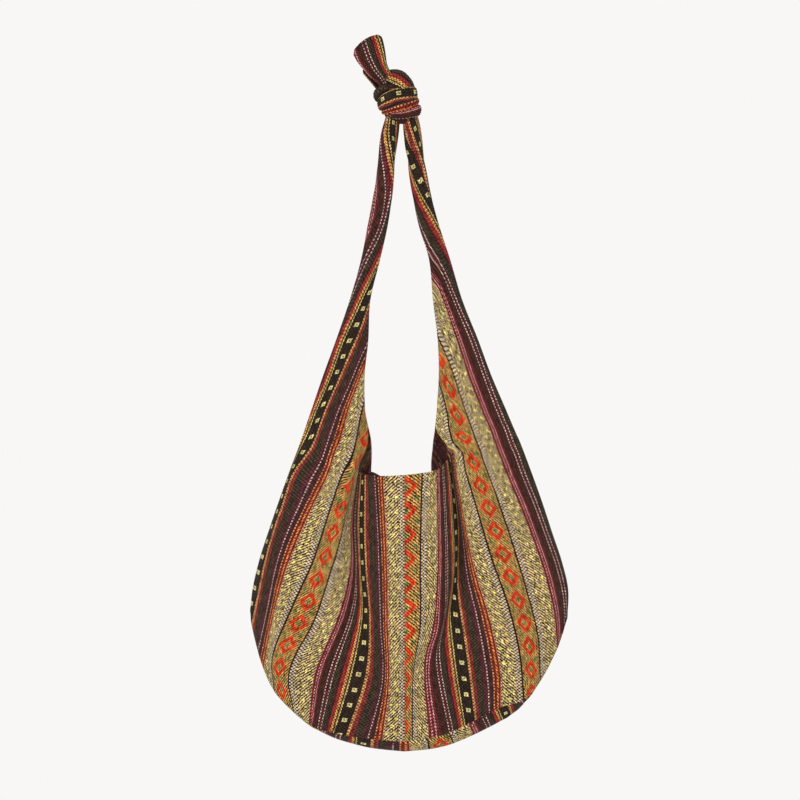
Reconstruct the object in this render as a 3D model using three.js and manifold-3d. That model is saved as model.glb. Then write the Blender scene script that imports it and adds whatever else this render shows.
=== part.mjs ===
// Knotted hobo sling bag of striped woven cloth, hanging from its knot.
// Two cloth panels in front and two behind run up into the strap arms without a break.
// A narrow gusset closes the bottom, and the two arms are tied together at the top.
// Millimetres, +Z up, the front faces -Y, and the origin is the crotch under the knot.

import * as THREE from 'three';
import { mergeVertices } from 'three/addons/utils/BufferGeometryUtils.js';
import Module from 'manifold-3d';

// Driving dimensions
const clothThickness = 1.5;
const hemThickness = 2.4;
const hemWidth = 10;
const seamGap = 0.5;
const armGap = 0.5;
const sideSeamGap = 1.6;
const gussetGap = 1.5;
const bodyWidth = 399;
const panelHeight = 332;
const strapDrop = 446;
const bellyDepth = 36;
const backDepth = 31;
const strapWidth = 24;
const strapPleat = 0.1;
const strapPleats = 6;
const gussetSag = 15.5;
const knotGap = 0.6;
const knotWidth = 58;
const knotHeight = 62;
const knotDepth = 44;
const bandThickness = 8;
const tailWidth = 40;
const tailThickness = 7;
const tailPleat = 1.6;
const tailPleats = 3;
const pleatShift = 0.2;

// The drawing is laid out in units of 1.25 mm, x to the right and y downwards.
const unit = 1.25;
const crotchX = 400;
const crotchY = 118;
const seamX = 404.5;
const armEndY = 250;
const mouthY = 474.6;
const bottomY = 740;
const drawnWidth = 319.5;
const drawnBelly = 36;
const drawnBack = 31;
const drawnArm = 19.2;
const drawnTail = 40;
const drawnKnot = [58, 62, 44];
const leftSeam = seamX - seamGap / (2 * unit);
const rightSeam = seamX + seamGap / (2 * unit);

// Steps between two drawn columns and between two drawn rows, and the weld of equal points
const frontSteps = 2;
const backSteps = 2;
const rowSteps = 2;
const weldSize = 1e-4;

const widthScale = bodyWidth / (drawnWidth * unit);
const dropScale = strapDrop / ((mouthY - crotchY) * unit);
const heightScale = panelHeight / ((bottomY - mouthY) * unit);
const bellyScale = bellyDepth / drawnBelly;
const backScale = backDepth / drawnBack;
const armScale = strapWidth / (drawnArm * unit);

// Drawn place to millimetres
function toX(x) {
  return (seamX - crotchX) * unit + (x - seamX) * unit * widthScale;
}

function toZ(y) {
  if (y < mouthY) return -(y - crotchY) * unit * dropScale;
  return -strapDrop - (y - mouthY) * unit * heightScale;
}

// Arms: y, outer x, inner x, half depth, middle depth, twist, and how far the inner edge opens
const leftArm = [
  [118.4, 385.5, 399.5, 9, 0, 150, 0],
  [135, 380, 399, 9.5, 0, 130, 0],
  [152, 378.8, 396.7, 10, 0, 105, 0],
  [172, 376.3, 395.3, 10, 1, 70, 0],
  [195, 372.5, 393, 9, 1, 35, 0],
  [225, 368, 387.5, 8, 2, 10, 0],
  [260, 361.3, 379.6, 7, 2, 0, 0],
  [300, 350, 370, 7, 3, 0, 0],
  [340, 336.3, 368, 7, 4, 0, 0],
  [375, 323.5, 364.4, 8, 5, 0, 0],
  [410, 311.5, 364.8, 9, 5, 0, 0.6],
  [442, 300.5, 368, 11, 5, 0, 3.5],
];
const rightArm = [
  [118.4, 418, 403, 9, 0, -150, 0],
  [135, 421.7, 404.3, 9.5, 0, -130, 0],
  [152, 423.8, 406.6, 10, 0, -105, 0],
  [172, 427.4, 409, 10, 1, -70, 0],
  [195, 431.5, 412, 9, 1, -35, 0],
  [225, 438.7, 419, 8, 2, -10, 0],
  [260, 450, 429.5, 7, 2, 0, 0],
  [300, 462, 433.3, 7, 3, 0, 0],
  [340, 478, 438, 7, 4, 0, 0],
  [375, 491, 439, 8, 5, 0, 0],
  [410, 506, 437, 9, 5, 0, 0.6],
  [442, 519.5, 441.5, 11, 5, 0, 3.5],
];

// Centre seam: y and depth of each row
const frontSeam = [[474.6, -24], [524, -31], [575, -35], [625, -36], [682, -32], [740, -20]];
const backSeam = [[478, 22], [527, 27], [577, 30], [630, 31], [685, 29], [740, 24]];

function seamColumn(x, seam) {
  return seam.map(([y, depth]) => [x, y, depth]);
}

// Columns of the body from the outer edge to the centre seam: x, y and depth of each row
const frontLeftColumns = [
  [[289, 473, 6], [279, 501, 8], [269.5, 529, 9], [260, 558, 10], [253, 587, 10], [250, 612, 8]],
  [[294, 474, 0], [284, 503, -1], [274, 532, -2], [266, 562, -3], [259, 595, -2], [252, 628, 7]],
  [[325, 474, -8], [309, 506, -11], [293, 541, -13], [281, 576, -14], [271, 620, -11], [262, 664, -1]],
  [[342, 475, -12], [329, 513, -17], [313, 557, -19], [298, 597, -20], [282, 640, -18], [273, 688, -8]],
  [[352, 474, -14], [342, 517, -20], [334, 560, -22], [320, 604, -23], [300, 655, -21], [292, 709, -12]],
  [[357.5, 470.5, -6], [348, 520, -9], [347, 565, -14], [341, 608, -21], [322, 662, -23], [309, 723, -15]],
  [[359.5, 472.5, -4], [353, 522, -5], [354, 566, -9], [354, 610, -16], [337, 665, -25], [320, 728, -17]],
  [[363, 474, -9], [361.5, 523, -10], [363, 568, -13], [366, 618, -17], [359, 673, -26], [340, 733, -19]],
  [[372, 475, -17], [374.5, 524, -20], [376, 572, -24], [378, 622, -25], [379, 678, -28], [362, 736.5, -20]],
  [[383, 475.5, -22], [385.5, 524, -28], [387.5, 575, -32], [388, 625, -33], [389, 680, -31], [382, 738.5, -20],
  ],
  seamColumn(leftSeam, frontSeam),
];
const frontLeftCorner = 5;

const frontRightColumns = [
  [[532, 473.5, 6], [541, 500, 8], [550, 527, 9], [558, 552, 10], [565, 577, 10], [569.5, 603, 8]],
  [[506, 474, -6], [520, 507, -9], [534, 544, -11], [545, 577, -11], [553, 612, -8], [556.5, 648, 4]],
  [[487, 474, -11], [503, 509, -15], [517, 548, -17], [528.5, 592, -17], [537, 634, -13], [540, 674, -5]],
  [[467, 473, -13], [479, 515, -17], [494, 557, -19], [508, 604, -20], [519, 652, -17], [523, 695, -10]],
  [[456, 468, -9], [464.5, 521, -14], [474, 568, -17], [488, 615, -20], [499, 668, -19], [500, 706.5, -13]],
  [[450.5, 463, -5], [458.5, 521, -6], [460, 569, -9], [456, 618, -16], [463, 672, -22], [470, 721.5, -17]],
  [[447.5, 460.5, -6], [455, 521, -6], [455.5, 568, -9], [447, 618, -17], [440, 674, -25], [449, 731.5, -18]],
  [[444.5, 463.5, -15], [450, 520, -22], [451, 567, -25], [441.5, 619, -28], [433, 675, -28], [439, 734.5, -19],
  ],
  [[436, 469.5, -22], [437, 522, -29], [437, 570, -33], [434, 621, -33], [425, 678, -30], [429, 736.5, -20]],
  [[422, 472.5, -24], [420.5, 524, -31], [420, 573, -35], [420, 623, -36], [415, 680, -31], [415, 739, -20]],
  seamColumn(rightSeam, frontSeam),
];
const frontRightCorner = 6;

const backLeftColumns = [
  [[289, 473, 6], [279, 501, 8], [269.5, 529, 9], [260, 558, 10], [253, 587, 10], [250, 612, 8]],
  [[303, 475, 16], [292, 508, 20], [282, 541, 22], [273, 572, 23], [266, 606, 21], [258, 650, 12]],
  [[330, 476, 20], [318, 515, 25], [308, 558, 27], [302, 600, 27], [294, 645, 25], [284, 701, 17]],
  [[352, 475, 17], [345, 520, 24], [340, 566, 28], [337, 612, 29], [331, 665, 27], [318, 727, 21]],
  [[371, 472, 12], [368, 522, 21], [367, 570, 27], [366, 622, 29], [362, 677, 28], [350, 735, 23]],
  [[383, 477, 20], [384, 526, 26], [385, 576, 29], [385, 628, 31], [382, 682, 29], [377, 738.5, 24]],
  seamColumn(leftSeam, backSeam),
];
const backRightColumns = [
  [[532, 473.5, 6], [541, 500, 8], [550, 527, 9], [558, 552, 10], [565, 577, 10], [569.5, 603, 8]],
  [[518, 475, 16], [528, 508, 20], [537, 540, 22], [545, 570, 23], [552, 602, 21], [557, 647, 11]],
  [[492, 476, 20], [501, 515, 25], [509, 557, 27], [516, 598, 27], [522, 640, 25], [530, 691, 17]],
  [[462, 475, 17], [467, 520, 24], [471, 565, 28], [474, 610, 29], [480, 660, 27], [492, 713, 21]],
  [[438, 472, 12], [441, 522, 21], [443, 570, 27], [445, 620, 29], [452, 674, 28], [462, 727, 23]],
  [[426, 477, 20], [425, 526, 26], [424.5, 576, 29], [425, 628, 31], [428, 682, 29], [433, 737, 24]],
  seamColumn(rightSeam, backSeam),
];
const backCorner = 4;

// Colours of the cloth where each piece shows most
const frontCloth = new THREE.Color(0x8a6a3c);
const backCloth = new THREE.Color(0x6e4a33);
const gussetCloth = new THREE.Color(0x5a3026);
const strapCloth = new THREE.Color(0x4a2620);

function clothMaterial(color) {
  return new THREE.MeshStandardMaterial({ color, roughness: 0.92, metalness: 0 });
}

// Smooth curve through equally numbered points
function splineWeights(t) {
  const t2 = t * t;
  const t3 = t2 * t;
  return [
    0.5 * (-t3 + 2 * t2 - t),
    0.5 * (3 * t3 - 5 * t2 + 2),
    0.5 * (-3 * t3 + 4 * t2 + t),
    0.5 * (t3 - t2),
  ];
}

function beyond(points, i) {
  const last = points.length - 1;
  if (i < 0) return points[0].clone().multiplyScalar(2).sub(points[1]);
  if (i > last) return points[last].clone().multiplyScalar(2).sub(points[last - 1]);
  return points[i];
}

function splinePoint(points, place) {
  const k = Math.min(Math.floor(place), points.length - 2);
  const w = splineWeights(place - k);
  const result = new THREE.Vector3();
  for (let i = 0; i < 4; i += 1) result.addScaledVector(beyond(points, k - 1 + i), w[i]);
  return result;
}

// One arm row: half of a flattened, pleated and twisted tube, front (side -1) or back (side 1)
function armRow([y, outerX, innerX, halfDepth, middle, twist, opening], side, corner) {
  const bodyShare = Math.max(0, (y - armEndY) / (mouthY - armEndY));
  const widening = armScale + (widthScale - armScale) * bodyShare;
  const centreX = (toX(outerX) + toX(innerX)) / 2;
  const halfWidth = ((innerX - outerX) * unit * widening) / 2;
  const turn = THREE.MathUtils.degToRad(twist);
  const points = [];
  for (let i = 0; i <= corner; i += 1) {
    const angle = (Math.PI * i) / corner;
    const pleat = 1 + strapPleat * Math.cos(strapPleats * angle) * Math.sin(angle);
    const across = -halfWidth * Math.cos(angle) * pleat;
    const parting = sideSeamGap / 2 + opening * Math.sin(angle / 2) ** 2;
    const out = side * (parting + halfDepth * Math.sin(angle) * pleat);
    points.push(new THREE.Vector3(
      centreX + across * Math.cos(turn) + out * Math.sin(turn) * Math.sign(turn || 1),
      middle + out * Math.cos(turn) - across * Math.sin(turn) * Math.sign(turn || 1),
      toZ(y),
    ));
  }
  return points;
}

function bodyDepth(depth, isOuterEdge, side) {
  if (isOuterEdge) return depth + (side * sideSeamGap) / 2;
  if (side < 0) return depth < 0 ? depth * bellyScale : depth;
  return depth * backScale;
}

// Rows of a panel from the knot to the bottom seam
function panelRows(arm, columns, corner, side, steps) {
  const armRows = arm.map((row) => armRow(row, side, corner));
  const lines = columns.map((column, c) => {
    const body = column.map(([x, y, depth]) => new THREE.Vector3(
      toX(x), bodyDepth(depth, c === 0, side), toZ(y)));
    return c <= corner ? [...armRows.map((row) => row[c]), ...body] : body;
  });
  const armCount = arm.length;
  const rowCount = armCount + columns[0].length - 1;
  const rows = [];
  for (let r = 0; r <= rowCount * rowSteps; r += 1) {
    const place = r / rowSteps;
    const inBody = place >= armCount;
    const last = inBody ? columns.length - 1 : corner;
    const across = [];
    for (let c = 0; c <= last; c += 1) {
      across.push(splinePoint(lines[c], c <= corner ? place : place - armCount));
    }
    const row = [];
    for (let k = 0; k <= last * steps; k += 1) {
      const point = splinePoint(across, k / steps);
      const onMouth = place === armCount && k >= corner * steps;
      point.thickness = onMouth ? hemThickness : clothThickness;
      row.push(point);
    }
    rows.push(row);
    if (place === armCount) rows.push(hemRow(lines, columns.length, corner, armCount, steps));
  }
  return rows;
}

// The rows of a panel's arm, which ends just above the body, and the rows of its body
function armAndBody(rows, armCount, corner, steps) {
  const joint = armCount * rowSteps;
  const end = rows[joint].slice(0, corner * steps + 1).map((point, k) => {
    const above = rows[joint - 1][k];
    const short = point.clone().lerp(above, armGap / point.distanceTo(above));
    short.thickness = clothThickness;
    return short;
  });
  return [[...rows.slice(0, joint), end], rows.slice(joint)];
}

// The row where the turned hem of the mouth ends
function hemRow(lines, columnCount, corner, armCount, steps) {
  const across = [];
  for (let c = 0; c < columnCount; c += 1) {
    const start = c <= corner ? armCount : 0;
    const length = lines[c][start].distanceTo(lines[c][start + 1]);
    across.push(splinePoint(lines[c], start + hemWidth / length));
  }
  const row = [];
  for (let k = 0; k <= (columnCount - 1) * steps; k += 1) {
    const point = splinePoint(across, k / steps);
    point.thickness = k >= corner * steps ? hemThickness : clothThickness;
    row.push(point);
  }
  return row;
}

// Closed solid around a sheet given as rows; a short row ends where the sheet has its corner
function sheetSolid(rows) {
  const starts = [];
  const points = [];
  for (const row of rows) {
    starts.push(points.length);
    points.push(...row);
  }
  const faces = [];
  for (let r = 0; r < rows.length - 1; r += 1) {
    const count = Math.min(rows[r].length, rows[r + 1].length);
    for (let k = 0; k < count - 1; k += 1) {
      const a = starts[r] + k;
      const b = starts[r + 1] + k;
      faces.push([a, a + 1, b + 1], [a, b + 1, b]);
    }
  }
  const normals = points.map(() => new THREE.Vector3());
  const edges = new Map();
  for (const [a, b, c] of faces) {
    const normal = new THREE.Triangle(points[a], points[b], points[c]);
    const area = normal.getArea();
    const facing = normal.getNormal(new THREE.Vector3()).multiplyScalar(area);
    for (const i of [a, b, c]) normals[i].add(facing);
    for (const [from, to] of [[a, b], [b, c], [c, a]]) edges.set(`${from},${to}`, [from, to]);
  }
  const count = points.length;
  const positions = [];
  for (const direction of [0.5, -0.5]) {
    points.forEach((point, i) => {
      const offset = normals[i].clone().normalize().multiplyScalar(direction * point.thickness);
      positions.push(...point.clone().add(offset).toArray());
    });
  }
  const index = [];
  for (const [a, b, c] of faces) {
    index.push(a, b, c);
    index.push(count + a, count + c, count + b);
  }
  for (const [from, to] of edges.values()) {
    if (edges.has(`${to},${from}`)) continue;
    index.push(from, count + from, count + to);
    index.push(from, count + to, to);
  }
  return closedGeometry(positions, index);
}

// Geometry with its faces pointing out
function closedGeometry(positions, index) {
  let volume = 0;
  const corner = (i) => new THREE.Vector3().fromArray(positions, 3 * i);
  for (let i = 0; i < index.length; i += 3) {
    volume += corner(index[i]).dot(corner(index[i + 1]).cross(corner(index[i + 2])));
  }
  if (volume < 0) {
    for (let i = 0; i < index.length; i += 3) [index[i + 1], index[i + 2]] = [index[i + 2], index[i + 1]];
  }
  const geometry = new THREE.BufferGeometry();
  geometry.setAttribute('position', new THREE.Float32BufferAttribute(positions, 3));
  geometry.setIndex(index);
  geometry.computeVertexNormals();
  return geometry;
}

// Closed solid through rings of points, capped at both ends
function ringSolid(rings) {
  const size = rings[0].length;
  const positions = [];
  const index = [];
  for (const ring of rings) for (const point of ring) positions.push(...point.toArray());
  for (let r = 0; r < rings.length - 1; r += 1) {
    for (let k = 0; k < size; k += 1) {
      const a = r * size + k;
      const b = r * size + ((k + 1) % size);
      index.push(a, b, b + size, a, b + size, a + size);
    }
  }
  for (const [r, flip] of [[0, true], [rings.length - 1, false]]) {
    const middle = positions.length / 3;
    const centre = new THREE.Vector3();
    for (const point of rings[r]) centre.addScaledVector(point, 1 / size);
    positions.push(...centre.toArray());
    for (let k = 0; k < size; k += 1) {
      const a = r * size + k;
      const b = r * size + ((k + 1) % size);
      if (flip) index.push(b, a, middle);
      else index.push(a, b, middle);
    }
  }
  return closedGeometry(positions, index);
}

// Closed solid of a section carried once round a loop
function loopSolid(rings) {
  const size = rings[0].length;
  const positions = [];
  const index = [];
  for (const ring of rings) for (const point of ring) positions.push(...point.toArray());
  for (let r = 0; r < rings.length; r += 1) {
    const next = ((r + 1) % rings.length) * size;
    for (let k = 0; k < size; k += 1) {
      const k2 = (k + 1) % size;
      index.push(r * size + k, r * size + k2, next + k2);
      index.push(r * size + k, next + k2, next + k);
    }
  }
  return closedGeometry(positions, index);
}

// Booleans
const wasm = await Module();
wasm.setup();

function toSolid(geometry) {
  const bare = geometry.clone();
  bare.deleteAttribute('normal');
  const merged = mergeVertices(bare, weldSize);
  return new wasm.Manifold(new wasm.Mesh({
    numProp: 3,
    vertProperties: new Float32Array(merged.attributes.position.array),
    triVerts: new Uint32Array(merged.index.array),
  }));
}

function toGeometry(solid) {
  const mesh = solid.getMesh();
  const geometry = new THREE.BufferGeometry();
  geometry.setAttribute('position', new THREE.Float32BufferAttribute(mesh.vertProperties, 3));
  geometry.setIndex([...mesh.triVerts]);
  geometry.computeVertexNormals();
  return geometry;
}

// Gusset: a strip under the bag, tapering to both ends and sagging between its two seams
const gussetLeftEnd = 256;
const gussetRightEnd = 563;
const gussetColumns = 44;
const gussetRows = 4;

// Share of the full sag along the gusset: x and share
const sagShares = [
  [gussetLeftEnd, 0], [300, 0.05], [320, 0.2], [340, 0.5], [372, 0.8], [404, 0.9], [461, 1], [490, 1],
  [520, 0.75], [545, 0.2], [gussetRightEnd, 0],
];

function sagShare(x) {
  const k = Math.max(1, sagShares.findIndex((share) => toX(share[0]) >= x));
  const [from, to] = [sagShares[k - 1], sagShares[k]];
  return THREE.MathUtils.mapLinear(x, toX(from[0]), toX(to[0]), from[1], to[1]);
}

// Bottom edge of the two panels of one side, from the left edge to the right edge of the bag
function bottomEdge(leftColumns, rightColumns, side, steps) {
  const halves = [leftColumns, rightColumns].map((columns) => {
    const ends = columns.map((column, c) => {
      const [x, y, depth] = column[column.length - 1];
      return new THREE.Vector3(toX(x), bodyDepth(depth, c === 0, side), toZ(y));
    });
    const last = (ends.length - 1) * steps;
    return Array.from({ length: last + 1 }, (_, k) => splinePoint(ends, k / steps));
  });
  return [...halves[0], ...halves[1].reverse()];
}

function edgeAt(edge, x) {
  const k = Math.max(1, edge.findIndex((point) => point.x >= x));
  const [a, b] = [edge[k - 1], edge[k]];
  return a.clone().lerp(b, (x - a.x) / (b.x - a.x));
}

function downward(edge, x) {
  const along = edgeAt(edge, x + unit).sub(edgeAt(edge, x - unit));
  return new THREE.Vector3(along.z, 0, -along.x).normalize();
}

function gussetSolid() {
  const front = bottomEdge(frontLeftColumns, frontRightColumns, -1, frontSteps);
  const back = bottomEdge(backLeftColumns, backRightColumns, 1, backSteps);
  const start = toX(gussetLeftEnd);
  const end = toX(gussetRightEnd);
  const middle = (start + end) / 2;
  const rows = [];
  for (let i = 0; i <= gussetColumns; i += 1) {
    const x = middle - ((end - start) / 2) * Math.cos((Math.PI * i) / gussetColumns);
    const a = edgeAt(front, x);
    const b = edgeAt(back, x);
    const outward = downward(front, x).add(downward(back, x)).normalize();
    const share = sagShare(x);
    const lean = (Math.PI / 2) * Math.min(1, 2 * share);
    a.y += gussetGap * Math.cos(lean);
    b.y -= gussetGap * Math.cos(lean);
    const row = [];
    for (let k = 0; k <= gussetRows; k += 1) {
      const w = k / gussetRows;
      const drop = gussetGap * Math.sin(lean) + 4 * gussetSag * share * w * (1 - w);
      const point = a.clone().lerp(b, w).addScaledVector(outward, drop);
      point.thickness = clothThickness;
      row.push(point);
    }
    rows.push(row);
  }
  return sheetSolid(rows);
}

// Knot: height above the crotch, left edge, right edge and half depth of the bundled core
const knotCore = [
  [-6, -10, 17, 8], [0, -13, 20, 11], [5, -15, 21, 13], [10, -18, 23, 16], [16, -21, 22, 18],
  [22, -24, 20, 19], [29, -26, 18, 20], [36, -26, 16, 19], [43, -24, 14, 18], [50, -21, 10, 15],
  [57, -17, 4, 11], [61, -13, -3, 5],
];
const coreSides = 16;

// Bands of the knot: centre x, centre height, half width, half depth, slope and band width
const knotBands = [
  [-6, 31, 25, 19, 0.34, 17],
  [2, 12, 20, 16, 0.42, 13],
  [-3, 47, 18.5, 15, -0.45, 16],
];
const bandSteps = 24;

// Section of a band: share of its thickness outwards and share of half its width upwards
const bandSection = [[0.2, -1], [0.48, -0.6], [0.5, 0], [0.48, 0.6], [0.2, 1], [-0.3, 0]];
const bandFlank = 0.3;

function knotPlace(x, y, z) {
  return new THREE.Vector3(
    (x * knotWidth) / drawnKnot[0],
    (y * knotDepth) / drawnKnot[2],
    (z * knotHeight) / drawnKnot[1],
  );
}

function coreGeometry(growth) {
  return ringSolid(knotCore.map(([z, left, right, depth]) => {
    const ring = [];
    const half = (right - left) / 2;
    for (let k = 0; k < coreSides; k += 1) {
      const angle = (2 * Math.PI * k) / coreSides;
      const x = left + half + (half + growth) * Math.cos(angle);
      ring.push(knotPlace(x, (depth + growth) * Math.sin(angle), z + growth * Math.sign(z)));
    }
    return ring;
  }));
}

function bandGeometry([centreX, centreZ, halfX, halfY, slope, width], growth) {
  const half = width / 2 + growth;
  const rings = [];
  for (let i = 0; i < bandSteps; i += 1) {
    const angle = (2 * Math.PI * i) / bandSteps;
    rings.push(bandSection.map(([out, up]) => {
      const reach = out * bandThickness + (out > bandFlank ? growth : -growth);
      const x = (halfX + reach) * Math.cos(angle);
      const y = (halfY + reach) * Math.sin(angle);
      return knotPlace(centreX + x, y, centreZ + up * half + slope * x);
    }));
  }
  return loopSolid(rings);
}

// The knot, or with some growth the space that its tails leave free
function knotSolid(growth) {
  let solid = toSolid(coreGeometry(growth));
  for (const band of knotBands) solid = solid.add(toSolid(bandGeometry(band, growth)));
  const reach = knotHeight;
  const under = new THREE.BoxGeometry(2 * knotWidth, 2 * knotDepth, reach);
  under.translate(0, 0, -reach / 2);
  under.deleteAttribute('uv');
  return solid.subtract(toSolid(under));
}

// The piece of a cut tail that reaches the highest
function freeEnd(solid) {
  const pieces = solid.decompose();
  const top = (piece) => piece.boundingBox().max[2];
  return pieces.reduce((best, piece) => (top(piece) > top(best) ? piece : best));
}

// Tails: rows from the knot to the free end: x, y, half width and depth, in drawing units
const frontTail = [
  [391, 87, 9, -8], [385.5, 78.5, 10, -8], [376.5, 69, 12, -6], [372, 57, 14.6, -4], [367.5, 46, 16, -3],
  [366, 42.5, 16, -3],
];
const rearTail = [[389, 92, 9, 7], [382, 82, 9, 8], [376, 73, 9.4, 8], [371, 65, 9.8, 8]];
const tailSides = 12;

function tailGeometry(rows, lean) {
  const widen = tailWidth / drawnTail;
  const points = rows.map(([x, y]) => new THREE.Vector3((x - crotchX) * unit, 0, (crotchY - y) * unit));
  const rings = rows.map(([, , half, depth], i) => {
    const ahead = beyond(points, i + 1).clone().sub(beyond(points, i - 1)).normalize();
    const across = new THREE.Vector3(ahead.z, 0, -ahead.x);
    const ring = [];
    for (let side = 1; side >= -1; side -= 2) {
      for (let k = 0; k < tailSides; k += 1) {
        const s = side * (1 - (2 * (k + 0.5)) / tailSides);
        const body = Math.sqrt(1 - s ** 4) * (tailThickness / 2 - tailPleat / 2);
        const pleat = tailPleat * Math.cos(Math.PI * tailPleats * (s + lean));
        const y = depth + side * body + pleat;
        ring.push(points[i].clone().addScaledVector(across, s * half * unit * widen).setY(y));
      }
    }
    return ring;
  });
  return ringSolid(rings);
}

// Assembly
const group = new THREE.Group();

function addPiece(name, geometry, color) {
  const mesh = new THREE.Mesh(geometry, clothMaterial(color));
  mesh.name = name;
  group.add(mesh);
}

const panels = [
  ['front_left', leftArm, frontLeftColumns, frontLeftCorner, -1, frontSteps, frontCloth],
  ['front_right', rightArm, frontRightColumns, frontRightCorner, -1, frontSteps, frontCloth],
  ['back_left', leftArm, backLeftColumns, backCorner, 1, backSteps, backCloth],
  ['back_right', rightArm, backRightColumns, backCorner, 1, backSteps, backCloth],
];
for (const [name, arm, columns, corner, side, steps, color] of panels) {
  const rows = panelRows(arm, columns, corner, side, steps);
  const [armPart, bodyPart] = armAndBody(rows, arm.length, corner, steps);
  addPiece(`${name}_arm`, sheetSolid(armPart), color);
  addPiece(`${name}_panel`, sheetSolid(bodyPart), color);
}
addPiece('base_gusset', gussetSolid(), gussetCloth);

const aroundKnot = knotSolid(knotGap);
addPiece('strap_knot', toGeometry(knotSolid(0)), strapCloth);
const frontTailSolid = toSolid(tailGeometry(frontTail, pleatShift)).subtract(aroundKnot);
const rearTailSolid = toSolid(tailGeometry(rearTail, -pleatShift)).subtract(aroundKnot);
addPiece('knot_tail_front', toGeometry(freeEnd(frontTailSolid)), strapCloth);
addPiece('knot_tail_rear', toGeometry(freeEnd(rearTailSolid)), strapCloth);

export default group;
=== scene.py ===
"""Knotted sling bag of striped woven cloth, hanging by its knot.

Metres, +Z up, the front faces -Y, and the origin is the crotch under the knot.
The bag is drawn in units of 1.25 mm, x to the right and y downwards.
"""
import math

import bmesh
import bpy
import numpy as np
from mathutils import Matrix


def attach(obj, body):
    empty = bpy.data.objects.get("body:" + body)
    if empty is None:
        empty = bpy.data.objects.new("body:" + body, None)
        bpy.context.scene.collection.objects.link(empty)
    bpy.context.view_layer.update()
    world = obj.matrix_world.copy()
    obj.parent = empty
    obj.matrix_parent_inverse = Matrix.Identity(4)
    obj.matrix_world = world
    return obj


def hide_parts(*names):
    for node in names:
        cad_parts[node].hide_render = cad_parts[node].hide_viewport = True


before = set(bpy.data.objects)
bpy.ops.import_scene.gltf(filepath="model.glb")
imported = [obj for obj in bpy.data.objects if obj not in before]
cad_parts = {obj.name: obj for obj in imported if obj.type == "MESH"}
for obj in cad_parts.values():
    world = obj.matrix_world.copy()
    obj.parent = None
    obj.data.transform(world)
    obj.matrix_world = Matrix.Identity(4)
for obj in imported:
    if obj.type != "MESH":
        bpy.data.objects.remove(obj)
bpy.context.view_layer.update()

MM = 0.001
UNIT = 1.25
CROTCH_X = 400.0
CROTCH_Y = 118.0
SEAM_X = 404.5
REPEAT = 164.0
CLOTH_THICKNESS = 1.2
MAP_SCALE = 100.0

# View in drawing units, camera and floor in metres
VIEW_SIZE = 800
VIEW_MIDDLE_Y = 400.0
CAMERA_DISTANCE = 4.0
SENSOR_WIDTH = 36.0
FLOOR_SIDES = 96
FLOOR_RADIUS = 0.72
FLOOR_HEIGHT = -0.95
FLOOR_COLOR = (0.86, 0.85, 0.84, 1.0)
FLOOR_ROUGHNESS = 0.8
BACK_COLOR = (0.94, 0.93, 0.92, 1.0)
LIGHT_COLOR = (1.0, 0.99, 0.98, 1.0)
LIGHT_STRENGTH = 0.62

# Lamps: name, place in metres, size in metres and power in watts
LAMPS = [
    ("lamp_left", (-1.7, -2.2, 0.9), 1.3, 34.0),
    ("lamp_right", (1.9, -1.7, 0.1), 1.2, 11.0),
    ("lamp_back", (0.4, 2.2, 0.9), 1.4, 16.0),
]
LAMP_AIM = (0.0, 0.0, -0.42)


def to_x(x):
    return (x - CROTCH_X) * UNIT


def to_z(y):
    return -(y - CROTCH_Y) * UNIT


def link(thing):
    bpy.context.scene.collection.objects.link(thing)
    return thing


def make_camera():
    scene = bpy.context.scene
    scene.view_settings.view_transform = "Standard"
    camera = link(bpy.data.objects.new("camera", bpy.data.cameras.new("camera")))
    camera.location = (0.0, -CAMERA_DISTANCE, to_z(VIEW_MIDDLE_Y) * MM)
    camera.rotation_euler = (math.pi / 2, 0.0, 0.0)
    camera.data.sensor_width = SENSOR_WIDTH
    camera.data.lens = SENSOR_WIDTH * CAMERA_DISTANCE / (VIEW_SIZE * UNIT * MM)
    scene.camera = camera


def make_floor():
    mesh = bpy.data.meshes.new("floor")
    form = bmesh.new()
    bmesh.ops.create_circle(form, cap_ends=True, segments=FLOOR_SIDES, radius=FLOOR_RADIUS)
    form.to_mesh(mesh)
    form.free()
    pale = bpy.data.materials.new("pale_floor")
    pale.use_nodes = True
    surface = pale.node_tree.nodes["Principled BSDF"]
    surface.inputs["Base Color"].default_value = FLOOR_COLOR
    surface.inputs["Roughness"].default_value = FLOOR_ROUGHNESS
    mesh.materials.append(pale)
    floor = link(bpy.data.objects.new("floor", mesh))
    floor.location = (0.0, 0.0, FLOOR_HEIGHT)


# The camera and reflections see a pale background, and the bag gets plain light
def make_background():
    world = bpy.data.worlds.new("studio")
    bpy.context.scene.world = world
    world.use_nodes = True
    tree = world.node_tree
    tree.nodes.clear()
    path = tree.nodes.new("ShaderNodeLightPath")
    seen = path.outputs["Is Camera Ray"]
    for name in ("Is Glossy Ray", "Is Transmission Ray"):
        either = tree.nodes.new("ShaderNodeMath")
        either.operation = "MAXIMUM"
        tree.links.new(seen, either.inputs[0])
        tree.links.new(path.outputs[name], either.inputs[1])
        seen = either.outputs[0]
    white = tree.nodes.new("ShaderNodeBackground")
    white.inputs["Color"].default_value = BACK_COLOR
    light = tree.nodes.new("ShaderNodeBackground")
    light.inputs["Color"].default_value = LIGHT_COLOR
    light.inputs["Strength"].default_value = LIGHT_STRENGTH
    mix = tree.nodes.new("ShaderNodeMixShader")
    out = tree.nodes.new("ShaderNodeOutputWorld")
    tree.links.new(seen, mix.inputs[0])
    tree.links.new(light.outputs[0], mix.inputs[1])
    tree.links.new(white.outputs[0], mix.inputs[2])
    tree.links.new(mix.outputs[0], out.inputs["Surface"])


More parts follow.
